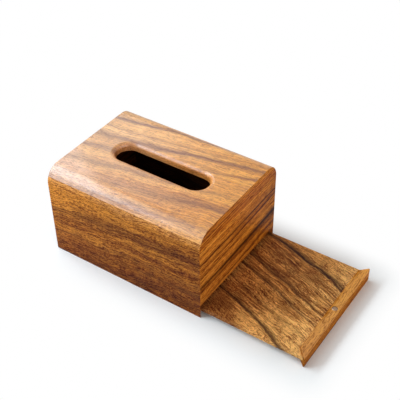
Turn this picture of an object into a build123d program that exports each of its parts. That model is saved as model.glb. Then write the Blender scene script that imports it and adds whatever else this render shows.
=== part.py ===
from build123d import *
import os

# Wooden tissue box with a sliding bottom drawer, in millimetres, +Z up.
# Five boards make a case that is open at the bottom: the top board lies on the side boards, and both
# end boards are mitred to the other three. A thin drawer bottom runs in grooves near the foot of the
# side boards and carries a low drawer front, which closes the opening under the front board. The
# drawer is drawn as it stands pulled out, towards +X.
# The origin is on the floor, at the centre of the footprint of the case and the drawer together.

# ---- Case ----
case_length = 160.0  # X, from the front face to the rear face
case_width = 120.0  # Y
case_height = 90.0  # Z, from the floor to the top face
stock = 8.0  # thickness of the case boards and of the drawer front
long_edge_radius = 15.0  # round on the two long top edges
edge_ease = 0.5  # sanded round on the crisp outside edges
inner_corner_radius = 0.5  # upper corners of the end boards' inner faces

# ---- Slot for the tissues, in the top board ----
slot_length = 96.0
slot_width = 24.0
slot_rim_radius = 4.0  # round on the upper rim
slot_underside_radius = 1.0  # round on the lower rim

# ---- Drawer ----
drawer_out = 98.0  # how far the drawer front stands out from the case's front face
drawer_opening_height = 14.0  # from the floor to the underside of the front board
front_top_gap = 0.4  # between the closed drawer front and the front board above it
front_floor_gap = 0.3  # under the drawer front
front_mitre_gap = 0.3  # between the drawer front's mitred ends and the side boards, when closed
front_tip_flat = 1.0  # the drawer front's mitres end this far behind its face, so that they aren't sharp
bottom_thickness = 4.0  # drawer bottom
bottom_lift = 5.4  # from the floor to the underside of the drawer bottom
bottom_ease = 0.4  # sanded round on the drawer bottom's long top edges
running_gap = 0.3  # between the drawer bottom and its grooves, above, below and beside it
side_groove_depth = 5.3  # into the side boards
rear_groove_depth = 3.0  # into the rear board
rear_end_gap = 0.5  # behind the closed drawer bottom
tongue_depth = 3.0  # how far the drawer bottom's tongue is let into the drawer front
tongue_shoulder = 3.0  # from the tongue's end to the inside of the side boards

# ---- Magnets of the catch ----
magnet_diameter = 5.0
magnet_thickness = 2.0
magnet_recess = 0.1  # how far a magnet lies below the wood around it
glue_gap = 0.05  # round a glued-in magnet, tongue or spline

# ---- Loose splines in the four upright mitres ----
spline_thickness = 1.5
spline_width = 5.0
spline_setback = 4.5  # from the outside faces to the middle of the spline
spline_bottom = 20.0
spline_top_margin = 5.0  # from the spline's upper end to where the long edge's round begins

# ---- Places that follow from the sizes ----
front_x = (case_length - drawer_out) / 2
rear_x = front_x - case_length
inner_front_x = front_x - stock
inner_rear_x = rear_x + stock
half_width = case_width / 2
inner_half_width = half_width - stock
inner_height = case_height - stock
middle_x = (front_x + rear_x) / 2
drawer_front_x = front_x + drawer_out
drawer_back_x = drawer_front_x - stock
front_top_z = drawer_opening_height - front_top_gap
mitre_shift = front_mitre_gap * 2**0.5
front_outer_half = half_width - mitre_shift
front_inner_half = inner_half_width - mitre_shift
bottom_top_z = bottom_lift + bottom_thickness
groove_bottom_z = bottom_lift - running_gap
groove_top_z = bottom_top_z + running_gap
groove_half_width = inner_half_width + side_groove_depth
bottom_half_width = groove_half_width - running_gap
closed_rear_x = inner_rear_x - rear_groove_depth + rear_end_gap
bottom_rear_x = closed_rear_x + drawer_out
tongue_half_width = inner_half_width - tongue_shoulder
magnet_setback = stock / 2
cut_margin = 2.0  # how far cutting shapes run past what they cut


def block(low, high):
    """A box between two opposite corners."""
    size = [b - a for a, b in zip(low, high)]
    centre = [(a + b) / 2 for a, b in zip(low, high)]
    return Pos(*centre) * Box(*size)


def end_outline(x, inset, radius, foot_z):
    """The case's end view at x, drawn in by inset at its sides and top, and square at its foot."""
    width = case_width - 2 * inset
    height = case_height - inset - foot_z
    outline = Pos(0, foot_z + height / 2) * Rectangle(width, height)
    outline = fillet(outline.vertices().group_by(Axis.Y)[-1], radius)
    return Plane.YZ.offset(x) * outline


def outer_outline(x, inset, foot_z):
    """An end outline at or just under the case's outside."""
    return end_outline(x, inset, long_edge_radius - inset, foot_z)


def inner_outline(x, foot_z):
    """The end outline where an end board's inner face meets the boards beside and above it."""
    return end_outline(x, stock, inner_corner_radius, foot_z)


def make_tube():
    """The top and side boards in one piece, with their eased edges, mitred ends and square inside corners."""
    seam = edge_ease / 2
    outside = [
        outer_outline(rear_x + seam, seam, 0),
        outer_outline(rear_x + edge_ease, 0, 0),
        outer_outline(front_x - edge_ease, 0, 0),
        outer_outline(front_x - seam, seam, 0),
    ]
    mitres = [
        outer_outline(rear_x + seam, seam, -cut_margin),
        inner_outline(inner_rear_x, -cut_margin),
        inner_outline(inner_front_x, -cut_margin),
        outer_outline(front_x - seam, seam, -cut_margin),
    ]
    low = (inner_rear_x, -inner_half_width, -cut_margin)
    inside = block(low, (inner_front_x, inner_half_width, inner_height))
    return loft(outside, ruled=True) - loft(mitres, ruled=True) - inside


def make_end_blank(outer_x, inner_x, foot_z):
    """An end board: drawn in at its eased outer edge, and mitred down to its inner face."""
    inwards = 1 if inner_x > outer_x else -1
    seam = edge_ease / 2
    sections = [
        outer_outline(outer_x, edge_ease, foot_z),
        outer_outline(outer_x + inwards * seam, seam, foot_z),
        inner_outline(inner_x, foot_z),
    ]
    return loft(sections, ruled=True)


def spline_blank(x_side, y_side, gap):
    """A spline in the upright mitre at one corner of the case, grown by gap on every side."""
    corner_x = front_x if x_side > 0 else rear_x
    low = spline_bottom - gap
    high = case_height - long_edge_radius - spline_top_margin + gap
    plate = Box(spline_width + 2 * gap, spline_thickness + 2 * gap, high - low)
    centre_x = corner_x - x_side * spline_setback
    centre_y = y_side * (half_width - spline_setback)
    turn = 45 * x_side * y_side
    return Pos(centre_x, centre_y, (low + high) / 2) * Rot(0, 0, turn - 90) * plate


def make_magnet(x, face_z, into):
    """A disc set into the face at face_z; into is +1 upwards and -1 downwards."""
    middle_z = face_z + into * (magnet_recess + magnet_thickness / 2)
    return Pos(x, 0, middle_z) * Cylinder(magnet_diameter / 2, magnet_thickness)


def magnet_pocket(x, face_z, into):
    """The pocket of a magnet, open at the face."""
    depth = magnet_recess + magnet_thickness + glue_gap
    reach = depth + cut_margin
    middle_z = face_z + into * (depth - reach / 2)
    return Pos(x, 0, middle_z) * Cylinder(magnet_diameter / 2 + glue_gap, reach)


def drawer_groove(y_side):
    """The groove that carries the drawer bottom, along the whole side board."""
    inner_y = y_side * (inner_half_width - cut_margin)
    outer_y = y_side * groove_half_width
    low = (rear_x, min(inner_y, outer_y), groove_bottom_z)
    high = (front_x, max(inner_y, outer_y), groove_top_z)
    return block(low, high)


def slot_edges(board, which):
    """The edges of the slot in the board's lowest (0) or highest (-1) level face."""
    face = board.faces().filter_by(Axis.Z).sort_by(Axis.Z)[which]
    return face.inner_wires()[0].edges()


def make_top_board(tube):
    """Top board, over the side boards and mitred at its ends, with the tissue slot and its rounded rims."""
    reach_y = half_width + cut_margin
    low = (rear_x, -reach_y, inner_height)
    board = tube & block(low, (front_x, reach_y, case_height + cut_margin))
    slot_face = Pos(middle_x, 0, inner_height) * SlotOverall(slot_length, slot_width)
    board -= extrude(slot_face, stock, dir=(0, 0, 1))
    board = fillet(slot_edges(board, -1), slot_rim_radius)
    return fillet(slot_edges(board, 0), slot_underside_radius)


def make_side_board(tube, y_side):
    """Side board, under the top board and mitred at its ends, with the drawer groove and two spline slots."""
    outer_y = y_side * (half_width + cut_margin)
    low = (rear_x, min(0, outer_y), -cut_margin)
    board = tube & block(low, (front_x, max(0, outer_y), inner_height))
    foot = board.faces().sort_by(Axis.Z)[0]
    outer_edge = foot.edges().filter_by(Axis.X).sort_by(lambda edge: abs(edge.center().Y))[-1]
    board = fillet(outer_edge, edge_ease)
    board -= drawer_groove(y_side)
    board -= spline_blank(1, y_side, glue_gap)
    board -= spline_blank(-1, y_side, glue_gap)
    return board


def make_front_board():
    """Front board, which ends above the floor to let the drawer through, with the case's magnet pocket."""
    board = make_end_blank(front_x, inner_front_x, drawer_opening_height)
    lower_face = board.faces().sort_by(Axis.Z)[0]
    board = fillet(lower_face.edges().filter_by(Axis.Y), edge_ease)
    board -= magnet_pocket(front_x - magnet_setback, drawer_opening_height, 1)
    board -= spline_blank(1, -1, glue_gap)
    board -= spline_blank(1, 1, glue_gap)
    return board


def make_rear_board():
    """Rear board, down to the floor, with a groove that takes the closed drawer bottom's rear end."""
    board = make_end_blank(rear_x, inner_rear_x, 0)
    foot = board.faces().sort_by(Axis.Z)[0]
    outer_edge = foot.edges().filter_by(Axis.Y).sort_by(Axis.X)[0]
    board = fillet(outer_edge, edge_ease)
    low = (inner_rear_x - rear_groove_depth, -groove_half_width, groove_bottom_z)
    board -= block(low, (inner_rear_x + cut_margin, groove_half_width, groove_top_z))
    board -= spline_blank(-1, -1, glue_gap)
    board -= spline_blank(-1, 1, glue_gap)
    return board


def make_drawer_bottom():
    """Thin board in the grooves, with a tongue at its front end and corners that meet the front's mitres."""
    shoulder_half = front_inner_half + glue_gap * 2**0.5
    corner_x = drawer_back_x + bottom_half_width - shoulder_half
    corners = [
        (bottom_rear_x, -bottom_half_width),
        (bottom_rear_x, bottom_half_width),
        (corner_x, bottom_half_width),
        (drawer_back_x, shoulder_half),
        (drawer_back_x, -shoulder_half),
        (corner_x, -bottom_half_width),
    ]
    plan = Pos(0, 0, bottom_lift) * make_face(Polyline(*corners, close=True))
    board = extrude(plan, bottom_thickness, dir=(0, 0, 1))
    long_top_edges = board.faces().sort_by(Axis.Z)[-1].edges().filter_by(Axis.X)
    board = fillet(long_top_edges, bottom_ease)
    low = (drawer_back_x - cut_margin, -tongue_half_width, bottom_lift)
    board += block(low, (drawer_back_x + tongue_depth, tongue_half_width, bottom_top_z))
    return board


def make_drawer_front():
    """Low strip across the drawer's front end, mitred at both ends, with a groove and a magnet pocket."""
    tip_half = front_outer_half - front_tip_flat
    tip_x = drawer_front_x - front_tip_flat
    corners = [
        (drawer_front_x, -tip_half),
        (drawer_front_x, tip_half),
        (tip_x, tip_half),
        (drawer_back_x, front_inner_half),
        (drawer_back_x, -front_inner_half),
        (tip_x, -tip_half),
    ]
    plan = Pos(0, 0, front_floor_gap) * make_face(Polyline(*corners, close=True))
    strip = extrude(plan, front_top_z - front_floor_gap, dir=(0, 0, 1))
    strip = fillet(strip.edges().filter_by(Axis.Y), edge_ease)
    low = (drawer_back_x - cut_margin, -tongue_half_width - glue_gap, bottom_lift - glue_gap)
    reach_x = drawer_back_x + tongue_depth + glue_gap
    strip -= block(low, (reach_x, tongue_half_width + glue_gap, bottom_top_z + glue_gap))
    strip -= magnet_pocket(drawer_front_x - magnet_setback, front_top_z, -1)
    return strip


tube = make_tube()
parts = {
    "top_board": make_top_board(tube),
    "left_side_board": make_side_board(tube, -1),
    "right_side_board": make_side_board(tube, 1),
    "front_board": make_front_board(),
    "rear_board": make_rear_board(),
    "drawer_bottom": make_drawer_bottom(),
    "drawer_front": make_drawer_front(),
    "case_magnet": make_magnet(front_x - magnet_setback, drawer_opening_height, 1),
    "drawer_magnet": make_magnet(drawer_front_x - magnet_setback, front_top_z, -1),
}
for end_name, x_side in (("front", 1), ("rear", -1)):
    for side_name, y_side in (("left", -1), ("right", 1)):
        parts[f"{end_name}_{side_name}_spline"] = spline_blank(x_side, y_side, 0)

os.makedirs("parts", exist_ok=True)
for name, solid in parts.items():
    export_step(solid, f"parts/{name}.step")
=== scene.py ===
import math
from collections import namedtuple

import bpy
from bpy.props import FloatProperty, FloatVectorProperty, PointerProperty
from bpy.types import Operator, Panel, PropertyGroup
from mathutils import Matrix, Vector


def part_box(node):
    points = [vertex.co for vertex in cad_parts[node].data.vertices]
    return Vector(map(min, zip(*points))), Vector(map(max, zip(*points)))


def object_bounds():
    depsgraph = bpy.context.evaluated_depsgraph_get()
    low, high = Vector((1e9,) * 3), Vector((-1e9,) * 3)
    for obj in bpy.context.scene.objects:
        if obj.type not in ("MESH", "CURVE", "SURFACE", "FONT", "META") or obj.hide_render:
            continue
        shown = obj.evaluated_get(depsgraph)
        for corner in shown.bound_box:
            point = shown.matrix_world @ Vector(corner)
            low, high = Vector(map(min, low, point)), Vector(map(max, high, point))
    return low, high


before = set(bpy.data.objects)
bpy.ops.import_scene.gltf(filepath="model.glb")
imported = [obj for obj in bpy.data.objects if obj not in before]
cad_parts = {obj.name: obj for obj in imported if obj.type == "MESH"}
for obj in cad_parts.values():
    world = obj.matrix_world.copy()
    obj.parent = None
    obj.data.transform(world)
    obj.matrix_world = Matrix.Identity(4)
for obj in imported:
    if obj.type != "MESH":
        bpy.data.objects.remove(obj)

bl_info = {
    "name": "Tissue Box With Drawer",
    "version": (1, 0, 0),
    "blender": (4, 5, 0),
    "location": "View3D > Sidebar > Tissue Box",
    "description": "Finishes the boards and magnets of a wooden tissue box and sets up its studio",
    "category": "Object",
}

MM = 0.001
CAD_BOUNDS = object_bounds()

# ---- How each board lies: axes in the frame, and its outer face, in millimetres ----

# along is the axis that the grain mostly follows, across lies in the board's outer face, and depth
# points out of that face. start and end bound the board along the grain, face is the outer face, and
# low and high are the board's corners.
Lie = namedtuple("Lie", "along across depth start end face low high")

# A dark streak of heartwood. path says where it crosses the board's start, middle and end, in millimetres
# across the board. width, in millimetres from its middle to where about a third of it is left, and
# strength are given at the same three places. tint is 0 for the warm streak colour and 1 for the
# near-black one. fade is how many times wider the streak is on its upper side.
Streak = namedtuple("Streak", "path width strength tint fade", defaults=(1.0,))

# Wood of one tone on one side of a path: under it where reach is above 0, and over it where reach is
# below 0. It has its full strength by reach millimetres from the path. tone is "light", "dark", or
# "pale" for a painted sheen, paler and bluer still. Notes below mark the shades that are painted
# shade and those that are painted sheen.
Shade = namedtuple("Shade", "path reach strength tone")

# The length, width and depth of the grain's ripples, in millimetres: in straight grain and in curly grain.
LONG_RIPPLE = (11.0, 5.0, 5.0)
CURLY_RIPPLE = (8.0, 4.0, 4.0)

# What one board's grain looks like: its streaks and shades; the length, width and strength of its fine
# lines; how wavy the grain is, how torn its streaks are and how strongly light ribbons cross it; how far
# the grain slants across the board from its start to its end; by how much its red, green and blue change
# at its start, middle and end; and the size of its ripples.
Figure = namedtuple(
    "Figure", "streaks shades lines wave torn ribbon drift tones ripple", defaults=(LONG_RIPPLE,)
)
EVEN = (1.0, 1.0, 1.0)


def box_corners(node):
    """The low and high corners of a node's box, in millimetres."""
    return [Vector(corner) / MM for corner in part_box(node)]


def lie(node, along, across, depth, outwards):
    """How a board lies, from its node's box. outwards is 1 or -1, the way that its outer face looks."""
    low, high = box_corners(node)
    axis = "XYZ".index(along)
    face = (high if outwards > 0 else low)["XYZ".index(depth)]
    return Lie(along, across, depth, low[axis], high[axis], face, low, high)


TOP_LIE = lie("top_board", "X", "Y", "Z", 1)
LEFT_LIE = lie("left_side_board", "X", "Z", "Y", -1)
RIGHT_LIE = lie("right_side_board", "X", "Z", "Y", 1)
FRONT_LIE = lie("front_board", "Y", "Z", "X", 1)
REAR_LIE = lie("rear_board", "Y", "Z", "X", -1)
BOTTOM_LIE = lie("drawer_bottom", "X", "Y", "Z", 1)
STRIP_LIE = lie("drawer_front", "Y", "Z", "X", 1)


# ---- The grain of each board ----

TOP_FIGURE = Figure(
    streaks=(
        Streak((38.0, 49.0, 58.0), (2.2, 2.2, 2.0), (1.0, 1.0, 0.5), 0.0),
        Streak((9.0, 23.5, 40.0), (5.0, 3.0, 3.2), (0.7, 1.0, 0.9), 0.0),
        Streak((-10.0, 4.0, 27.0), (3.6, 2.4, 2.2), (0.9, 0.4, 1.0), 0.0),
        Streak((-31.0, -18.0, -2.0), (5.5, 4.0, 2.0), (0.65, 0.65, 0.3), 0.0),
        Streak((-52.0, -38.0, -24.0), (4.0, 5.0, 5.5), (0.15, 0.6, 0.95), 0.0),
        Streak((-66.0, -56.5, -51.0), (3.0, 3.5, 5.0), (0.0, 0.75, 0.4), 0.0),
        Streak((24.0, 33.0, 46.0), (2.2, 2.6, 2.8), (0.45, 0.4, 0.55), 0.0),
    ),
    shades=(
        Shade((-41.0, -27.0, -14.0), -4.0, 0.4, "light"),
        Shade((18.0, 27.0, 44.0), 5.0, 0.3, "dark"),
        # Painted sheen: the top paler and bluer at its near left end.
        Shade((-8.0, -60.0, -110.0), 18.0, 0.4, "pale"),
        Shade((15.0, 65.0, 100.0), -20.0, 0.45, "dark"),
        Shade((-43.0, -60.0, -80.0), 9.0, 0.3, "dark"),
        # Painted reflection: the near round paler and bluer towards its drawer end.
        Shade((-76.0, -56.0, -41.0), 8.0, 0.3, "pale"),
    ),
    lines=(140.0, 2.2, 0.8),
    wave=0.8,
    torn=0.3,
    ribbon=0.06,
    drift=21.0,
    # The start's paler, bluer tone is partly the wood's own and partly painted sheen.
    tones=((0.98, 1.08, 1.65), (1.06, 1.05, 1.2), (1.12, 1.02, 0.5)),
)
SIDE_FIGURE = Figure(
    streaks=(
        Streak((49.0, 57.0, 62.0), (3.5, 5.0, 4.0), (0.65, 0.8, 0.75), 0.1),
        Streak((40.0, 51.0, 58.0), (2.0, 2.5, 3.0), (0.3, 0.25, 0.35), 0.0),
        Streak((24.0, 30.0, 37.0), (2.0, 2.0, 3.0), (0.35, 0.5, 0.35), 0.0),
        Streak((8.0, 18.0, 25.0), (2.5, 2.0, 2.6), (0.3, 0.4, 0.85), 0.4),
        Streak((0.0, 5.0, 12.0), (4.0, 5.0, 6.0), (0.6, 0.5, 0.5), 0.3),
    ),
    shades=(
        Shade((49.0, 59.0, 68.0), -12.0, 0.9, "light"),
        Shade((56.0, 64.0, 76.0), 14.0, 0.25, "dark"),
        # Painted shade: the side darker towards the bottom.
        Shade((40.0, 40.0, 46.0), 36.0, 0.8, "dark"),
        # Painted sheen: the side paler at its top below the seam, carrying on the near round's highlight.
        Shade((72.0, 72.0, 73.0), -9.0, 0.95, "pale"),
        # Painted contact shadow along the bottom edge.
        Shade((1.8, 1.8, 1.8), 1.5, 0.9, "dark"),
    ),
    lines=(70.0, 2.2, 0.8),
    wave=1.0,
    torn=0.7,
    ribbon=0.07,
    drift=14.0,
    tones=((1.0, 0.89, 0.78), (0.75, 0.66, 0.6), (0.78, 0.7, 0.65)),
)
END_FIGURE = Figure(
    streaks=(
        Streak((86.0, 88.0, 86.0), (3.0, 2.0, 3.0), (0.2, 0.1, 0.1), 0.0),
        Streak((80.0, 80.5, 79.0), (0.8, 0.8, 0.8), (0.2, 0.5, 0.0), 0.0),
        Streak((77.0, 77.5, 77.0), (0.8, 0.8, 0.8), (0.5, 0.2, 0.0), 0.0),
        Streak((59.3, 60.2, 61.6), (1.5, 1.8, 1.6), (0.9, 1.0, 1.0), 0.25),
        Streak((53.0, 53.6, 56.6), (1.2, 1.4, 1.5), (0.3, 0.95, 1.0), 0.2),
        Streak((45.4, 46.2, 48.0), (1.3, 1.1, 1.1), (0.8, 0.7, 0.3), 0.1),
        Streak((33.4, 34.6, 38.0), (1.8, 2.6, 4.2), (0.9, 1.0, 1.0), 1.0),
        Streak((28.4, 29.5, 31.5), (1.6, 1.6, 1.8), (0.85, 0.75, 0.6), 0.2),
        Streak((17.0, 20.0, 24.0), (1.3, 1.4, 1.8), (0.4, 0.8, 0.9), 0.3),
        Streak((11.0, 12.5, 14.5), (1.5, 1.6, 1.8), (0.6, 0.8, 0.9), 0.4),
    ),
    shades=(
        Shade((76.0, 75.0, 75.0), 3.0, 0.35, "light"),
        Shade((62.0, 63.0, 64.0), 2.5, 0.15, "dark"),
        Shade((52.0, 52.0, 52.0), 3.0, 0.35, "light"),
        # Painted shade: the end board darker low down, below about 38 mm.
        Shade((38.0, 38.0, 42.0), 6.0, 0.3, "dark"),
    ),
    lines=(190.0, 1.5, 0.8),
    wave=0.25,
    torn=0.0,
    ribbon=0.03,
    drift=3.0,
    tones=((1.15, 1.0, 1.0), (1.2, 1.0, 0.8), (0.95, 0.78, 0.33)),
)
BOTTOM_FIGURE = Figure(
    streaks=(
        Streak((66.0, 49.0, 22.0), (1.7, 1.8, 1.7), (0.8, 1.0, 1.0), 0.5, 2.5),
        Streak((38.0, 16.0, -12.0), (1.4, 1.2, 1.0), (0.5, 0.8, 0.6), 0.3, 2.5),
        Streak((26.0, 2.0, -26.0), (1.6, 1.2, 1.0), (0.6, 0.75, 0.5), 0.2, 2.5),
        Streak((-12.0, -34.0, -70.0), (1.7, 1.5, 1.2), (0.8, 0.95, 0.85), 0.4, 2.5),
        Streak((10.0, -17.0, -43.0), (4.0, 2.6, 1.6), (0.4, 0.4, 0.3), 0.0),
        Streak((50.0, 31.0, 7.0), (4.0, 3.5, 3.0), (0.3, 0.3, 0.15), 0.2),
    ),
    shades=(
        Shade((-60.0, -32.0, -18.0), 12.0, 0.6, "light"),
        # Painted shadow of the case on the drawer bottom, darkest at its near side next to the case.
        Shade((37.0, -35.0, -106.0), 14.0, 0.9, "dark"),
        Shade((62.0, 46.0, 20.0), -6.0, 0.6, "light"),
    ),
    lines=(28.0, 1.2, 0.9),
    wave=0.65,
    torn=0.3,
    ribbon=0.1,
    drift=-48.0,
    # The start's darker, redder tone is painted shade from the case, with its reddish reflected light.
    tones=((0.68, 0.34, 0.22), (0.94, 0.74, 0.6), (1.3, 1.33, 1.4)),
    ripple=CURLY_RIPPLE,
)
STRIP_FIGURE = Figure(
    streaks=(
        Streak((9.0, 7.0, 10.0), (1.0, 1.2, 1.0), (0.3, 0.25, 0.2), 0.0),
        Streak((3.0, 4.0, 2.0), (1.4, 1.2, 1.6), (0.3, 0.25, 0.3), 0.0),
    ),
    # Painted sheen: the top of the drawer front paler and bluer.
    shades=(Shade((10.2, 10.2, 10.2), -1.5, 0.95, "pale"),),
    lines=(90.0, 1.2, 0.8),
    wave=0.4,
    torn=0.3,
    ribbon=0.03,
    drift=2.0,
    tones=((0.98, 0.85, 0.75), (1.08, 0.98, 0.75), (1.2, 1.06, 0.75)),
)
SPLINE_FIGURE = Figure(
    streaks=(),
    shades=(),
    lines=(60.0, 1.2, 0.6),
    wave=0.3,
    torn=0.0,
    ribbon=0.0,
    drift=1.0,
    tones=(EVEN, EVEN, EVEN),
)


# ---- Settings ----


def colour_setting(name, description, default):
    """A colour that the user may change."""
    return FloatVectorProperty(
        name=name, description=description, default=default, subtype="COLOR", size=3, min=0.0, max=1.0
    )


def share_setting(name, description, default):
    """A share from 0 to 1 that the user may change."""
    return FloatProperty(
        name=name, description=description, default=default, subtype="FACTOR", min=0.0, max=1.0
    )


def radiance_setting(name, source, default):
    """How brightly a lamp or the room shines."""
    return FloatProperty(name=name, description=f"Radiance of {source}", default=default, min=0.0)


def wood_settings(
    class_name, board, light, mid, dark, streak, band_width, fibre, density, fibre_size, gloss, roughness
):
    """A property group for one kind of board, with that board's own defaults."""
    members = {
        "light": colour_setting("Light wood", f"Palest bands of the {board}", light),
        "mid": colour_setting("Wood", f"Main colour of the {board}", mid),
        "dark": colour_setting("Dark wood", f"Darker bands of the {board}", dark),
        "streak": colour_setting("Streaks", f"Heartwood streaks of the {board}", streak),
        "band_width": FloatProperty(
            name="Band width",
            description="Typical width of the light and dark bands, in millimetres",
            default=band_width,
            min=1.0,
            max=60.0,
        ),
        "fibre": share_setting("Fibre", "How strongly the single fibres and pores show", fibre),
        "density": share_setting("Density", "How densely the fibres and pores lie", density),
        "fibre_size": FloatVectorProperty(
            name="Fibre size",
            description="Length and width of the fibres and pores, in millimetres",
            default=fibre_size,
            size=2,
            min=0.1,
            max=40.0,
        ),
        "gloss": share_setting("Gloss", "How much the oiled surface reflects", gloss),
        "roughness": share_setting("Roughness", "How blurred its reflections are", roughness),
    }
    return type(class_name, (PropertyGroup,), {"__annotations__": members})


TopWood = wood_settings(
    "TopWood",
    "top board",
    light=(0.88, 0.41, 0.095),
    mid=(0.75, 0.285, 0.05),
    dark=(0.48, 0.16, 0.02),
    streak=(0.23, 0.066, 0.012),
    band_width=7.5,
    fibre=0.7,
    density=0.4,
    fibre_size=(3.4, 0.6),
    gloss=0.9,
    roughness=0.3,
)
SideWood = wood_settings(
    "SideWood",
    "side boards",
    light=(0.79, 0.305, 0.044),
    mid=(0.48, 0.15, 0.013),
    dark=(0.26, 0.058, 0.006),
    streak=(0.15, 0.031, 0.006),
    band_width=9.0,
    fibre=0.9,
    density=0.85,
    fibre_size=(2.4, 0.8),
    gloss=0.08,
    roughness=0.4,
)
EndWood = wood_settings(
    "EndWood",
    "end boards",
    light=(0.60, 0.25, 0.036),
    mid=(0.46, 0.135, 0.010),
    dark=(0.21, 0.042, 0.004),
    streak=(0.09, 0.014, 0.002),
    band_width=5.0,
    fibre=0.95,
    density=0.5,
    fibre_size=(5.0, 0.7),
    gloss=0.05,
    roughness=0.45,
)
BottomWood = wood_settings(
    "BottomWood",
    "drawer bottom",
    light=(0.84, 0.44, 0.14),
    mid=(0.55, 0.235, 0.06),
    dark=(0.30, 0.105, 0.024),
    streak=(0.08, 0.024, 0.012),
    band_width=8.0,
    fibre=1.0,
    density=1.0,
    fibre_size=(2.0, 0.55),
    gloss=0.1,
    roughness=0.45,
)
StripWood = wood_settings(
    "StripWood",
    "drawer front",
    light=(0.60, 0.24, 0.036),
    mid=(0.38, 0.12, 0.006),
    dark=(0.26, 0.07, 0.004),
    streak=(0.15, 0.036, 0.003),
    band_width=4.0,
    fibre=0.75,
    density=0.5,
    fibre_size=(4.0, 0.7),
    gloss=0.015,
    roughness=0.4,
)
SplineWood = wood_settings(
    "SplineWood",
    "splines",
    light=(0.62, 0.42, 0.22),
    mid=(0.52, 0.33, 0.16),
    dark=(0.40, 0.24, 0.11),
    streak=(0.30, 0.17, 0.08),
    band_width=3.0,
    fibre=0.3,
    density=0.3,
    fibre_size=(5.0, 0.8),
    gloss=0.2,
    roughness=0.5,
)


class MagnetFinish(PropertyGroup):
    """The plating of the catch magnets."""

    plating: colour_setting("Plating", "Colour of the nickel plating", (0.31, 0.20, 0.13))
    roughness: share_setting("Roughness", "How dull the plating is", 0.28)


class StudioSettings(PropertyGroup):
    """Camera and light."""

    azimuth: FloatProperty(
        name="Camera azimuth",
        description="Turn of the camera round the box, from the near side towards the drawer",
        default=math.radians(34.694),
        subtype="ANGLE",
        unit="ROTATION",
    )
    elevation: FloatProperty(
        name="Camera elevation",
        description="Height of the camera above the horizon",
        default=math.radians(39.667),
        subtype="ANGLE",
        unit="ROTATION",
    )
    roll: FloatProperty(
        name="Camera roll",
        description="Lean of the camera to its right",
        default=math.radians(-0.867),
        subtype="ANGLE",
        unit="ROTATION",
    )
    distance: FloatProperty(
        name="Camera distance",
        description="From the camera to the point that it looks at",
        default=792.165 * MM,
        min=0.1,
        subtype="DISTANCE",
        unit="LENGTH",
    )
    look_at: FloatVectorProperty(
        name="Look at",
        description="Point that the camera looks at",
        default=(-36.441 * MM, 38.961 * MM, 30.0 * MM),
        size=3,
        subtype="TRANSLATION",
        unit="LENGTH",
    )
    lens: FloatProperty(
        name="Lens",
        description="Focal length on a 36 mm sensor, in millimetres",
        default=76.67,
        min=10.0,
        max=300.0,
    )
    overhead_softbox: radiance_setting("Overhead softbox", "the softbox over the box", 0.8)
    near_window: radiance_setting("Near window", "the window that the near round mirrors", 10.8)
    low_window: radiance_setting("Low window", "the window that the near round mirrors low down", 4.2)
    far_window: radiance_setting("Far window", "the window that the top's left end mirrors", 3.0)
    fill: radiance_setting("Fill", "the softbox in front of the drawer", 2.0)
    room: radiance_setting("Room light", "the room on every side", 0.22)


class TissueBoxSettings(PropertyGroup):
    """Everything that the panel offers."""

    top_wood: PointerProperty(type=TopWood, name="Top board", description="Wood of the top board")
    side_wood: PointerProperty(type=SideWood, name="Side boards", description="Wood of the side boards")
    end_wood: PointerProperty(type=EndWood, name="End boards", description="Wood of the end boards")
    bottom_wood: PointerProperty(
        type=BottomWood, name="Drawer bottom", description="Wood of the drawer bottom"
    )
    strip_wood: PointerProperty(type=StripWood, name="Drawer front", description="Wood of the drawer front")
    spline_wood: PointerProperty(type=SplineWood, name="Splines", description="Wood of the splines")
    magnet: PointerProperty(type=MagnetFinish, name="Magnets", description="Plating of the magnets")
    studio: PointerProperty(type=StudioSettings, name="Studio", description="Camera and light")


# ---- Shader nodes ----

SHIFT_WAY = (1.0, 0.7, 1.3)  # the way in which each noise is shifted


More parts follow.
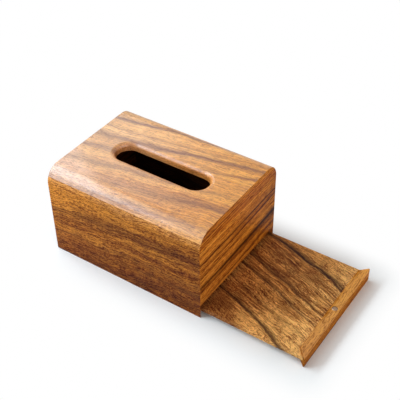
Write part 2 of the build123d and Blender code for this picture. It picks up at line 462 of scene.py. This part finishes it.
class Shader:
    """The node tree of a material or of the world, with short ways to add the nodes that it needs."""

    def __init__(self, holder):
        self.holder = holder
        holder.use_nodes = True
        self.tree = holder.node_tree
        self.tree.nodes.clear()

    def node(self, kind, inputs=None, **options):
        """Adds a node, sets its options, and sets or wires its inputs."""
        made = self.tree.nodes.new(kind)
        for key, value in options.items():
            setattr(made, key, value)
        for key, value in (inputs or {}).items():
            socket = made.inputs[key]
            if isinstance(value, bpy.types.NodeSocket):
                self.tree.links.new(value, socket)
            else:
                socket.default_value = value
        return made

    def math(self, operation, *values, clamp=False):
        """One step of arithmetic on numbers."""
        inputs = dict(enumerate(values))
        return self.node("ShaderNodeMath", inputs, operation=operation, use_clamp=clamp).outputs[0]

    def vector(self, operation, *values):
        """One step of arithmetic on vectors."""
        inputs = dict(enumerate(values))
        return self.node("ShaderNodeVectorMath", inputs, operation=operation).outputs[0]

    def length(self, value):
        """The length of a vector."""
        return self.node("ShaderNodeVectorMath", {0: value}, operation="LENGTH").outputs["Value"]

    def combine(self, x, y, z):
        """A vector made of three numbers."""
        return self.node("ShaderNodeCombineXYZ", {0: x, 1: y, 2: z}).outputs[0]

    def split(self, value):
        """The X, Y and Z of a vector."""
        return self.node("ShaderNodeSeparateXYZ", {0: value}).outputs

    def point(self):
        """The point being shaded, in metres of the frame."""
        return self.node("ShaderNodeTexCoord").outputs["Object"]

    def place(self):
        """The same point in millimetres."""
        return self.vector("MULTIPLY", self.point(), (1 / MM,) * 3)

    def ramp(self, value, low, high, to_low=0.0, to_high=1.0):
        """A soft step from to_low to to_high as value goes from low to high."""
        inputs = {"Value": value, "From Min": low, "From Max": high, "To Min": to_low, "To Max": to_high}
        return self.node("ShaderNodeMapRange", inputs, interpolation_type="SMOOTHSTEP").outputs[0]

    def mix(self, factor, one, two, blend="MIX"):
        """A mix of two colours."""
        inputs = {0: factor, 6: one, 7: two}
        return self.node("ShaderNodeMix", inputs, data_type="RGBA", blend_type=blend).outputs[2]

    def noise(self, place, sizes, detail=3.0, roughness=0.6, shift=0.0):
        """Noise whose marks have about these sizes, in millimetres along, across and in depth."""
        scale = tuple(1.0 / size for size in sizes)
        shifted = tuple(shift * part for part in SHIFT_WAY)
        scaled = self.vector("MULTIPLY_ADD", place, scale, shifted)
        inputs = {"Vector": scaled, "Scale": 1.0, "Detail": detail, "Roughness": roughness}
        return self.node("ShaderNodeTexNoise", inputs).outputs[0]

    def three(self, share, values):
        """A parabola through three values, at shares of 0, 0.5 and 1."""
        first, middle, last = values
        linear = -3 * first + 4 * middle - last
        square = 2 * first - 4 * middle + 2 * last
        inner = self.math("MULTIPLY_ADD", share, square, linear)
        return self.math("MULTIPLY_ADD", inner, share, first)

    def finish(self, inputs):
        """Ends a material in one principled surface, and returns the material."""
        surface = self.node("ShaderNodeBsdfPrincipled", inputs).outputs[0]
        self.node("ShaderNodeOutputMaterial", {"Surface": surface})
        return self.holder


def rgba(colour):
    """A colour with nothing see-through about it."""
    return (*colour, 1.0)


def tinted(colour, tint):
    """A colour with each channel times its tint."""
    return tuple(channel * share for channel, share in zip(colour, tint))


# ---- Wood ----

# Where a point lies in its board: its share of the way along the grain, how far across it is, and its
# place along, across and in depth in the grain's own slanting run. All but the share are in millimetres.
Place = namedtuple("Place", "share across grain")

# The fibres at a point: their height, and how much of it is dark pore and how much bright fibre.
Fibre = namedtuple("Fibre", "height dark bright")

# The size of the marks in the wood, in millimetres along, across and in depth.
SWING_SIZE = (50.0, 24.0, 24.0)  # the grain's slow swings
TEAR_SIZE = (24.0, 1.6, 1.6)  # the breaks in a torn streak
RIBBON_SIZE = (6.0, 22.0, 22.0)  # the light ribbons across the grain
EDGE_GLINT_PATCH_SIZE = (9.0, 9.0, 9.0)  # the patches of the painted edge highlights
BAND_LENGTH = 240.0  # the broad bands, along the grain

# Noise runs from 0 to 1, mostly close to its middle. Each step below is the value at which a mark starts
# to show, and the one at which it shows fully.
NOISE_MIDDLE = 0.5
LIGHT_BAND = (0.49, 0.61)
DARK_BAND = (0.49, 0.37)
LIGHT_LINE = (0.52, 0.60)
DARK_LINE = (0.49, 0.41)
UNTORN = (0.34, 0.52)
RIBBON_GLOW = (0.35, 0.65)
EDGE_GLINT_STEP = (0.35, 0.6)

# How far each noise is shifted, so that no two of them look alike.
SHIFT = {
    "swing": 3.1,
    "ripple": 8.7,
    "line": 5.0,
    "tear": 11.0,
    "ribbon": 17.0,
    "fleck": 23.0,
    "hair": 31.0,
    "edge_glint": 41.0,
    "spot": 4.0,
}

RING_LEAN = 0.35  # how far the growth rings lean, across for each step in depth
LONG_WOBBLE = 13.0  # mm, the widest that the grain swings from side to side, at a wave of 1
SHORT_WOBBLE = 4.0  # mm, the widest that it ripples from side to side, at a wave of 1
NEAR_BLACK = (0.35, 0.35, 0.35)  # what the near-black streaks keep of the streak colour
PORE_TINT = (0.34, 0.20, 0.15, 1.0)  # what the dark pores leave of the wood's colour
FLECK_TINT = (1.3, 1.38, 1.2, 1.0)  # what the bright fibres make of it
GOLDEN_SHARE = 0.22  # how far the bright fibres then turn to the light wood's own colour
HAIR_LENGTH = 4.0  # how many times longer the long fibres are than the short ones
SPARSE_GAP = 0.045  # how far from the middle of the noise sparse fibres begin
DENSE_GAP = 0.01  # the same for dense ones
FIBRE_STEP = 0.022  # over how much more of the noise they come in
PAINTED_SHEEN_TINT = (1.06, 1.26, 2.8)  # what the painted sheen makes of the light wood's colour
EDGE_WIDTH = 0.7  # mm, how far the painted edge highlights reach
EDGE_GLINT_TINT = (1.12, 1.14, 1.2, 1.0)  # how much paler the painted edge highlights make the edges
EDGE_GLINT_RANGE = (0.25, 0.9)  # how strong the painted edge highlight is in its weakest and strongest patches
SLOT_REACH = 17.5  # mm, from the top board's middle line to past the slot's rounded rim
SLOT_SOFTNESS = 1.0  # mm, over which the slot's painted sheen fades out there
RIM_DEPTH = 0.8  # mm, how far down the rim the painted sheen is fully reached
SLOT_SHEEN_TINT = (1.06, 1.02, 1.3, 1.0)  # how much paler and bluer the painted sheen on the slot's rim and wall is
BOARD_THICKNESS = FRONT_LIE.high.x - FRONT_LIE.low.x  # mm, of each of the case's boards
INSIDE_SHADE_START = 0.1  # mm, how far from a board's inner face its painted shade starts
INSIDE_SHADE_FULL = 0.02  # mm, how far from that face it is full
INSIDE_SHADE_TINT = (0.16, 0.13, 0.12, 1.0)  # what the painted shade inside the case leaves of the wood's colour
LINE_DULLING = 0.16  # how much the roughness varies with the fine lines
PORE_DULLING = 0.15  # how much rougher the pores are
PORE_DEPTH = 0.08  # mm
PORE_RELIEF = 0.5  # how strongly the pores' depth shows


def board_place(shader, board, flip, figure):
    """Where a point lies in its board, with the grain's wobble."""
    parts = shader.split(shader.place())
    along, across, depth = (parts[axis] for axis in (board.along, board.across, board.depth))
    start, end = (board.end, board.start) if flip else (board.start, board.end)
    span = {"Value": along, "From Min": start, "From Max": end}
    share = shader.node("ShaderNodeMapRange", span, clamp=False).outputs[0]
    inwards = shader.math("SUBTRACT", depth, board.face)
    leaned = shader.math("MULTIPLY_ADD", inwards, RING_LEAN, across)
    straight = shader.combine(along, leaned, depth)
    swing = shader.noise(straight, SWING_SIZE, detail=1.0, roughness=0.5, shift=SHIFT["swing"])
    ripple = shader.noise(straight, figure.ripple, detail=2.0, roughness=0.5, shift=SHIFT["ripple"])
    wobbled = leaned
    for noise, most in ((swing, LONG_WOBBLE), (ripple, SHORT_WOBBLE)):
        sideways = shader.math("SUBTRACT", noise, NOISE_MIDDLE)
        wobbled = shader.math("MULTIPLY_ADD", sideways, most * figure.wave, wobbled)
    slanted = shader.math("MULTIPLY_ADD", share, -figure.drift, wobbled)
    return Place(share, wobbled, shader.combine(along, slanted, depth))


def banded_colour(shader, grain, wood_group, lines):
    """Broad bands and fine lines along the grain, and the noise of the lines."""
    light, mid, dark = (rgba(getattr(wood_group, key)) for key in ("light", "mid", "dark"))
    band_width = wood_group.band_width
    band = shader.noise(grain, (BAND_LENGTH, band_width, band_width), roughness=0.55)
    colour = shader.mix(shader.ramp(band, *LIGHT_BAND), mid, light)
    colour = shader.mix(shader.ramp(band, *DARK_BAND), colour, dark)
    length, width, strength = lines
    line = shader.noise(grain, (length, width, width), shift=SHIFT["line"])
    colour = shader.mix(shader.ramp(line, *DARK_LINE, 0.0, strength), colour, dark)
    colour = shader.mix(shader.ramp(line, *LIGHT_LINE, 0.0, strength), colour, light)
    return line, colour


def shaded_colour(shader, colour, place, wood_group, shades):
    """The colour with the board's broad light, dark and pale areas laid over it; the pale ones are painted
    sheen.
    """
    tones = {
        "light": wood_group.light,
        "dark": wood_group.dark,
        # pale is a painted sheen, paler and bluer than the light wood
        "pale": tinted(wood_group.light, PAINTED_SHEEN_TINT),
    }
    for shade in shades:
        side = math.copysign(1.0, shade.reach)
        beyond = shader.math("SUBTRACT", shader.three(place.share, shade.path), place.across)
        beyond = shader.math("MULTIPLY", beyond, side)
        mask = shader.ramp(beyond, 0.0, abs(shade.reach), 0.0, shade.strength)
        colour = shader.mix(mask, colour, rgba(tones[shade.tone]))
    return colour


def streak_mask(shader, place, streak):
    """How much of one streak shows at a point, from 0 to 1."""
    middle = shader.three(place.share, streak.path)
    width = shader.three(place.share, streak.width)
    off = shader.math("DIVIDE", shader.math("SUBTRACT", place.across, middle), width)
    if streak.fade != 1.0:
        above = shader.math("DIVIDE", shader.math("MAXIMUM", off, 0.0), streak.fade)
        off = shader.math("ADD", above, shader.math("MINIMUM", off, 0.0))
    fall = shader.math("MULTIPLY", off, off)
    bell = shader.math("EXPONENT", shader.math("MULTIPLY", fall, -1.0))
    strength = shader.three(place.share, streak.strength)
    return shader.math("MULTIPLY", bell, strength, clamp=True)


def streaked_colour(shader, colour, place, wood_group, figure):
    """The colour with the board's streaks laid over it, and how free of streaks it is."""
    tear = shader.noise(place.grain, TEAR_SIZE, shift=SHIFT["tear"])
    whole = shader.ramp(tear, *UNTORN, 1.0 - figure.torn, 1.0)
    warm = rgba(wood_group.streak)
    near_black = rgba(tinted(wood_group.streak, NEAR_BLACK))
    free = 1.0
    for streak in figure.streaks:
        mask = shader.math("MULTIPLY", streak_mask(shader, place, streak), whole)
        colour = shader.mix(mask, colour, shader.mix(streak.tint, warm, near_black))
        free = shader.math("MULTIPLY", free, shader.math("SUBTRACT", 1.0, mask))
    return colour, free


def toned_colour(shader, colour, share, tones):
    """The colour with its red, green and blue changed along the board."""
    red, green, blue = (shader.three(share, values) for values in zip(*tones))
    return shader.mix(1.0, colour, shader.combine(red, green, blue), "MULTIPLY")


def fibres(shader, grain, wood_group):
    """Short and long fibres along the grain, with pores between them."""
    length, width = wood_group.fibre_size
    fleck = shader.noise(grain, (length, width, width), roughness=0.65, shift=SHIFT["fleck"])
    hair = shader.noise(grain, (HAIR_LENGTH * length, width, width), roughness=0.65, shift=SHIFT["hair"])
    height = shader.math("MULTIPLY", shader.math("ADD", fleck, hair), 0.5)
    gap = SPARSE_GAP * (1.0 - wood_group.density) + DENSE_GAP * wood_group.density
    dark = shader.ramp(height, NOISE_MIDDLE - gap, NOISE_MIDDLE - FIBRE_STEP - gap)
    bright = shader.ramp(height, NOISE_MIDDLE + gap, NOISE_MIDDLE + FIBRE_STEP + gap)
    return Fibre(height, dark, bright)


def fibred_colour(shader, colour, fibre, free, wood_group):
    """The colour with dark pores and bright fibres, which turn golden where no streak runs."""
    for mask, tint in ((fibre.dark, PORE_TINT), (fibre.bright, FLECK_TINT)):
        colour = shader.mix(shader.math("MULTIPLY", mask, wood_group.fibre), colour, tint, "MULTIPLY")
    free_fibre = shader.math("MULTIPLY", fibre.bright, free)
    golden = shader.math("MULTIPLY", free_fibre, wood_group.fibre * GOLDEN_SHARE)
    return shader.mix(golden, colour, rgba(wood_group.light))


def ribboned_colour(shader, colour, grain, strength):
    """Faint light ribbons across the grain: the figure's own tone and its painted chatoyant sheen."""
    ribbon = shader.noise(grain, RIBBON_SIZE, detail=2.0, roughness=0.5, shift=SHIFT["ribbon"])
    glow = shader.ramp(ribbon, *RIBBON_GLOW, 1.0 - strength, 1.0 + strength)
    return shader.mix(1.0, colour, shader.combine(glow, glow, glow), "MULTIPLY")


def edge_mask(shader, board):
    """How near a point is to an edge of its board: 1 on the edge, and 0 past the edges' width."""
    half = (board.high - board.low) / 2
    from_middle = shader.vector("SUBTRACT", shader.place(), (board.low + board.high) / 2)
    inside = shader.vector("SUBTRACT", half, shader.vector("ABSOLUTE", from_middle))
    x, y, z = shader.split(inside)
    nearest = shader.math("MINIMUM", shader.math("MINIMUM", x, y), z)
    farthest = shader.math("MAXIMUM", shader.math("MAXIMUM", x, y), z)
    total = shader.math("ADD", shader.math("ADD", x, y), z)
    second = shader.math("SUBTRACT", shader.math("SUBTRACT", total, nearest), farthest)
    return shader.ramp(second, EDGE_WIDTH, 0.0)


def edge_glint_colour(shader, colour, board, grain):
    """The colour with a painted highlight along the board's edges, in patches."""
    patches = shader.noise(grain, EDGE_GLINT_PATCH_SIZE, shift=SHIFT["edge_glint"])
    glint_strength = shader.ramp(patches, *EDGE_GLINT_STEP, *EDGE_GLINT_RANGE)
    glint_mask = shader.math("MULTIPLY", edge_mask(shader, board), glint_strength)
    return shader.mix(glint_mask, colour, EDGE_GLINT_TINT, "MULTIPLY")


def slot_sheen_colour(shader, colour, board):
    """The colour with a painted sheen, paler and bluer, on the slot's rim and wall."""
    parts = shader.split(shader.place())
    off = shader.math("ABSOLUTE", parts[board.across])
    down = shader.math("SUBTRACT", board.face, parts[board.depth])
    near = shader.ramp(off, SLOT_REACH, SLOT_REACH - SLOT_SOFTNESS)
    below = shader.ramp(down, 0.0, RIM_DEPTH)
    return shader.mix(shader.math("MULTIPLY", near, below), colour, SLOT_SHEEN_TINT, "MULTIPLY")


def inside_shade_colour(shader, colour, board, grain):
    """The colour with painted shade on the face inside the case."""
    depth = shader.split(grain)["Z"]
    inwards = shader.math("ABSOLUTE", shader.math("SUBTRACT", depth, board.face))
    inside = shader.ramp(inwards, BOARD_THICKNESS - INSIDE_SHADE_START, BOARD_THICKNESS - INSIDE_SHADE_FULL)
    return shader.mix(inside, colour, INSIDE_SHADE_TINT, "MULTIPLY")


def wood(name, board, wood_group, figure, flip=False, slot_sheen=False, inside_shade=False):
    """An oiled, open-grained hardwood for one board.

    flip turns the grain end for end. The slot flag paints a paler, bluer sheen on the slot's rim and
    wall, and the inside flag paints shade on the face inside the case.
    """
    shader = Shader(bpy.data.materials.new(name))
    place = board_place(shader, board, flip, figure)
    line, colour = banded_colour(shader, place.grain, wood_group, figure.lines)
    colour = shaded_colour(shader, colour, place, wood_group, figure.shades)
    colour, free = streaked_colour(shader, colour, place, wood_group, figure)
    colour = toned_colour(shader, colour, place.share, figure.tones)
    fibre = fibres(shader, place.grain, wood_group)
    colour = fibred_colour(shader, colour, fibre, free, wood_group)
    colour = ribboned_colour(shader, colour, place.grain, figure.ribbon)
    colour = edge_glint_colour(shader, colour, board, place.grain)
    if slot_sheen:
        colour = slot_sheen_colour(shader, colour, board)
    if inside_shade:
        colour = inside_shade_colour(shader, colour, board, place.grain)

    dull = shader.math("MULTIPLY_ADD", line, LINE_DULLING, wood_group.roughness - LINE_DULLING / 2)
    roughness = shader.math("MULTIPLY_ADD", fibre.dark, PORE_DULLING, dull, clamp=True)
    relief = {"Height": fibre.height, "Distance": PORE_DEPTH * MM, "Strength": PORE_RELIEF}
    bump = shader.node("ShaderNodeBump", relief).outputs[0]
    return shader.finish(
        {
            "Base Color": colour,
            "Roughness": roughness,
            "Normal": bump,
            "Specular IOR Level": wood_group.gloss,
        }
    )


# ---- Magnets ----

CHAMFER = 0.8  # mm, width of a magnet's chamfer
CHAMFER_DEPTH = 0.4  # mm
SCRATCH_SIZE = (2.5, 0.08, 0.5)  # mm, length, width and depth of the plating's scratches
SPOT_SIZE = (0.7, 0.7, 0.7)  # mm, size of its dull spots
DULL_SPOT = (0.45, 0.7)  # the values of the noise at which a spot starts, and at which it is fully dull
TARNISH = (0.6, 0.6, 0.6)  # what a dull spot leaves of the plating's colour
SCRATCH_DULLING = 0.2  # how much the roughness varies with the scratches
SCRATCH_HEIGHT = 0.02  # a scratch's height, as a share of the chamfer's depth


def magnet_plating(node, plate_group):
    """Nickel plate with a chamfered rim, fine scratches and a few dull spots."""
    shader = Shader(bpy.data.materials.new(node + "_plate"))
    low, high = box_corners(node)
    place = shader.place()
    from_middle = shader.vector("SUBTRACT", place, (low + high) / 2)
    level = shader.vector("MULTIPLY", from_middle, (1.0, 1.0, 0.0))
    radius = (high.y - low.y) / 2
    rim = shader.ramp(shader.length(level), radius - CHAMFER, radius)
    scratch = shader.noise(place, SCRATCH_SIZE)
    spot = shader.noise(place, SPOT_SIZE, shift=SHIFT["spot"])
    tarnished = rgba(tinted(plate_group.plating, TARNISH))
    colour = shader.mix(shader.ramp(spot, *DULL_SPOT), rgba(plate_group.plating), tarnished)
    least = plate_group.roughness - SCRATCH_DULLING / 2
    roughness = shader.math("MULTIPLY_ADD", scratch, SCRATCH_DULLING, least)
    height = shader.math("MULTIPLY_ADD", scratch, SCRATCH_HEIGHT, shader.math("SUBTRACT", 1.0, rim))
    bump = shader.node("ShaderNodeBump", {"Height": height, "Distance": CHAMFER_DEPTH * MM}).outputs[0]
    return shader.finish({"Base Color": colour, "Metallic": 1.0, "Roughness": roughness, "Normal": bump})


def finish_node(node, material):
    """Gives a CAD node its finish."""
    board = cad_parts[node]
    for holder in board.material_slots:
        holder.material = material


# ---- Operators ----


def box_settings():
    """The settings that the panel shows."""
    return bpy.context.scene.tissue_box


class TISSUEBOX_OT_top_board(Operator):
    """Finish the top board"""

    bl_idname = "tissue_box.top_board"
    bl_label = "Finish Top Board"

    def execute(self, context):
        group = box_settings().top_wood
        material = wood("top_wood", TOP_LIE, group, TOP_FIGURE, slot_sheen=True, inside_shade=True)
        finish_node("top_board", material)
        return {"FINISHED"}


class TISSUEBOX_OT_side_boards(Operator):
    """Finish the two side boards"""

    bl_idname = "tissue_box.side_boards"
    bl_label = "Finish Side Boards"

    def execute(self, context):
        group = box_settings().side_wood
        left = wood("left_side_wood", LEFT_LIE, group, SIDE_FIGURE, inside_shade=True)
        right = wood("right_side_wood", RIGHT_LIE, group, SIDE_FIGURE, flip=True, inside_shade=True)
        finish_node("left_side_board", left)
        finish_node("right_side_board", right)
        return {"FINISHED"}


class TISSUEBOX_OT_end_boards(Operator):
    """Finish the front and rear boards"""

    bl_idname = "tissue_box.end_boards"
    bl_label = "Finish End Boards"

    def execute(self, context):
        group = box_settings().end_wood
        front = wood("front_wood", FRONT_LIE, group, END_FIGURE, inside_shade=True)
        rear = wood("rear_wood", REAR_LIE, group, END_FIGURE, flip=True, inside_shade=True)
        finish_node("front_board", front)
        finish_node("rear_board", rear)
        return {"FINISHED"}


class TISSUEBOX_OT_drawer_bottom(Operator):
    """Finish the sliding drawer bottom"""

    bl_idname = "tissue_box.drawer_bottom"
    bl_label = "Finish Drawer Bottom"

    def execute(self, context):
        group = box_settings().bottom_wood
        material = wood("drawer_bottom_wood", BOTTOM_LIE, group, BOTTOM_FIGURE)
        finish_node("drawer_bottom", material)
        return {"FINISHED"}


class TISSUEBOX_OT_drawer_front(Operator):
    """Finish the low drawer front"""

    bl_idname = "tissue_box.drawer_front"
    bl_label = "Finish Drawer Front"

    def execute(self, context):
        group = box_settings().strip_wood
        material = wood("drawer_front_wood", STRIP_LIE, group, STRIP_FIGURE)
        finish_node("drawer_front", material)
        return {"FINISHED"}


class TISSUEBOX_OT_splines(Operator):
    """Finish the four loose splines inside the upright mitres"""

    bl_idname = "tissue_box.splines"
    bl_label = "Finish Splines"

    def execute(self, context):
        group = box_settings().spline_wood
        for end_name in ("front", "rear"):
            for side_name in ("left", "right"):
                node = f"{end_name}_{side_name}_spline"
                material = wood(node + "_wood", lie(node, "Z", "X", "Y", 1), group, SPLINE_FIGURE)
                finish_node(node, material)
        return {"FINISHED"}


class TISSUEBOX_OT_magnets(Operator):
    """Finish the two catch magnets"""

    bl_idname = "tissue_box.magnets"
    bl_label = "Finish Magnets"

    def execute(self, context):
        for node in ("case_magnet", "drawer_magnet"):
            finish_node(node, magnet_plating(node, box_settings().magnet))
        return {"FINISHED"}


# ---- Stage ----

FLOOR_HALF = 3.0  # m, half the floor's width
FLOOR_DROP = 0.1 * MM  # how far the floor lies under the box
FLOOR_WHITE = 0.035  # m, from the box to where the floor is plain white to the eye
FLOOR_SHADED = (1.0, 0.965, 0.93, 1.0)  # the floor's colour to the eye, under the box's shadow
FLOOR_BOUNCE = (0.6, 0.6, 0.6, 1.0)  # its colour to the light that it sends back to the box
WHITE = (1.0, 1.0, 1.0, 1.0)
LAMP_DISTANCE = 1.2  # m, from the box to each lamp before it is moved aside
COOL = (0.95, 0.98, 1.0)
DAYLIGHT = (0.72, 0.88, 1.0)
WARM = (1.0, 0.98, 0.95)
SENSOR_WIDTH = 36.0  # mm

# A softbox that faces the box from the given direction, and is then moved aside along Y, in metres. Its
# size is its width and height, and its radiance is the studio setting of the same name.
Lamp = namedtuple("Lamp", "name direction aside size colour")
LAMPS = (
    Lamp("overhead_softbox", (-0.30, -0.10, 0.95), 0.0, (0.8, 0.8), COOL),
    Lamp("near_window", (-0.688, 0.0, 0.725), -0.45, (1.3, 0.32), DAYLIGHT),
    Lamp("low_window", (-0.703, -0.655, 0.276), 0.0, (0.55, 0.46), DAYLIGHT),
    Lamp("far_window", (-0.713, 0.0, 0.701), 0.66, (0.8, 0.36), COOL),
    Lamp("fill", (0.95, -0.25, 0.3), 0.0, (1.2, 1.0), WARM),
)


def eye_mask(shader):
    """1 where the eye looks, straight or by a mirror or glass, and 0 for light on its way to a surface."""
    rays = shader.node("ShaderNodeLightPath").outputs
    seen = shader.math("MAXIMUM", rays["Is Camera Ray"], rays["Is Glossy Ray"])
    return shader.math("MAXIMUM", seen, rays["Is Transmission Ray"])


def floor_material():
    """White to the eye, with the box's shadow near the box, and darker to the light that it sends back."""
    shader = Shader(bpy.data.materials.new("floor"))
    seen = eye_mask(shader)
    half = Vector(CAD_BOUNDS[1]) * Vector((1.0, 1.0, 0.0))
    beyond = shader.vector("SUBTRACT", shader.vector("ABSOLUTE", shader.point()), half)
    beyond = shader.vector("MAXIMUM", beyond, (0.0, 0.0, 0.0))
    white = shader.math("MULTIPLY", shader.ramp(shader.length(beyond), 0.0, FLOOR_WHITE), seen)
    colour = shader.mix(seen, FLOOR_BOUNCE, FLOOR_SHADED)
    lit = shader.node("ShaderNodeBsdfDiffuse", {"Color": colour}).outputs[0]
    plain = shader.node("ShaderNodeEmission", {"Color": WHITE, "Strength": 1.0}).outputs[0]
    surface = shader.node("ShaderNodeMixShader", {0: white, 1: lit, 2: plain}).outputs[0]
    shader.node("ShaderNodeOutputMaterial", {"Surface": surface})
    return shader.holder


def make_floor():
    """A plain pale floor under the box."""
    corners = [(-1, -1), (1, -1), (1, 1), (-1, 1)]
    mesh = bpy.data.meshes.new("floor")
    points = [(x * FLOOR_HALF, y * FLOOR_HALF, -FLOOR_DROP) for x, y in corners]
    mesh.from_pydata(points, [], [range(len(points))])
    mesh.materials.append(floor_material())
    floor = bpy.data.objects.new("floor", mesh)
    bpy.context.scene.collection.objects.link(floor)


def make_world(room):
    """A white room to the eye and in reflections, and a weaker light on the surfaces."""
    shader = Shader(bpy.data.worlds.new("room"))
    strength = shader.node("ShaderNodeMix", {0: eye_mask(shader), 2: room, 3: 1.0}).outputs[0]
    light = shader.node("ShaderNodeBackground", {"Color": WHITE, "Strength": strength}).outputs[0]
    shader.node("ShaderNodeOutputWorld", {"Surface": light})
    bpy.context.scene.world = shader.holder


def make_lamp(lamp, radiance):
    """One softbox, unseen by the camera."""
    light = bpy.data.lights.new(lamp.name, "AREA")
    light.shape = "RECTANGLE"
    width, height = lamp.size
    light.size = width
    light.size_y = height
    light.energy = radiance * math.pi * width * height
    light.color = lamp.colour
    holder = bpy.data.objects.new(lamp.name, light)
    towards = Vector(lamp.direction).normalized()
    low, high = CAD_BOUNDS
    holder.location = (low + high) / 2 + towards * LAMP_DISTANCE + Vector((0.0, lamp.aside, 0.0))
    holder.rotation_euler = (-towards).to_track_quat("-Z", "Y").to_euler()
    holder.visible_camera = False
    bpy.context.scene.collection.objects.link(holder)


def make_camera(studio):
    """A camera at the photograph's viewing angle."""
    data = bpy.data.cameras.new("camera")
    data.lens = studio.lens
    data.sensor_width = SENSOR_WIDTH
    camera = bpy.data.objects.new("camera", data)
    level = math.cos(studio.elevation)
    back = Vector(
        (math.sin(studio.azimuth) * level, -math.cos(studio.azimuth) * level, math.sin(studio.elevation))
    )
    right = (-back).cross(Vector((0.0, 0.0, 1.0))).normalized()
    upright = Matrix((right, back.cross(right), back)).transposed().to_4x4()
    place = Matrix.Translation(Vector(studio.look_at) + back * studio.distance)
    camera.matrix_world = place @ upright @ Matrix.Rotation(studio.roll, 4, "Z")
    bpy.context.scene.collection.objects.link(camera)
    bpy.context.scene.camera = camera


class TISSUEBOX_OT_stage(Operator):
    """Set up the floor, the lights and the camera"""

    bl_idname = "tissue_box.stage"
    bl_label = "Set Up Stage"

    def execute(self, context):
        studio = box_settings().studio
        make_floor()
        make_world(studio.room)
        for lamp in LAMPS:
            make_lamp(lamp, getattr(studio, lamp.name))
        make_camera(studio)
        context.scene.view_settings.view_transform = "Standard"
        return {"FINISHED"}


# ---- Panel and registration ----

STEPS = (
    TISSUEBOX_OT_top_board,
    TISSUEBOX_OT_side_boards,
    TISSUEBOX_OT_end_boards,
    TISSUEBOX_OT_drawer_bottom,
    TISSUEBOX_OT_drawer_front,
    TISSUEBOX_OT_splines,
    TISSUEBOX_OT_magnets,
    TISSUEBOX_OT_stage,
)


class TISSUEBOX_PT_panel(Panel):
    """The finishes, the studio and the steps that make them"""

    bl_idname = "TISSUEBOX_PT_panel"
    bl_label = "Tissue Box"
    bl_space_type = "VIEW_3D"
    bl_region_type = "UI"
    bl_category = "Tissue Box"

    def draw(self, context):
        box = context.scene.tissue_box
        for group_name in box.__annotations__:
            group = getattr(box, group_name)
            column = self.layout.box().column()
            column.label(text=group_name.replace("_", " ").capitalize())
            for key in type(group).__annotations__:
                column.prop(group, key)
        for step in STEPS:
            self.layout.operator(step.bl_idname)


CLASSES = (
    TopWood,
    SideWood,
    EndWood,
    BottomWood,
    StripWood,
    SplineWood,
    MagnetFinish,
    StudioSettings,
    TissueBoxSettings,
    *STEPS,
    TISSUEBOX_PT_panel,
)


def register():
    """Registers the settings, the steps and the panel."""
    for each in CLASSES:
        bpy.utils.register_class(each)
    bpy.types.Scene.tissue_box = PointerProperty(type=TissueBoxSettings)


def unregister():
    """Takes them back out."""
    del bpy.types.Scene.tissue_box
    for each in reversed(CLASSES):
        bpy.utils.unregister_class(each)


def main():
    """Finishes the box and sets up the stage."""
    register()
    for step in STEPS:
        group, name = step.bl_idname.split(".")
        getattr(getattr(bpy.ops, group), name)()


if __name__ == "__main__":
    main()
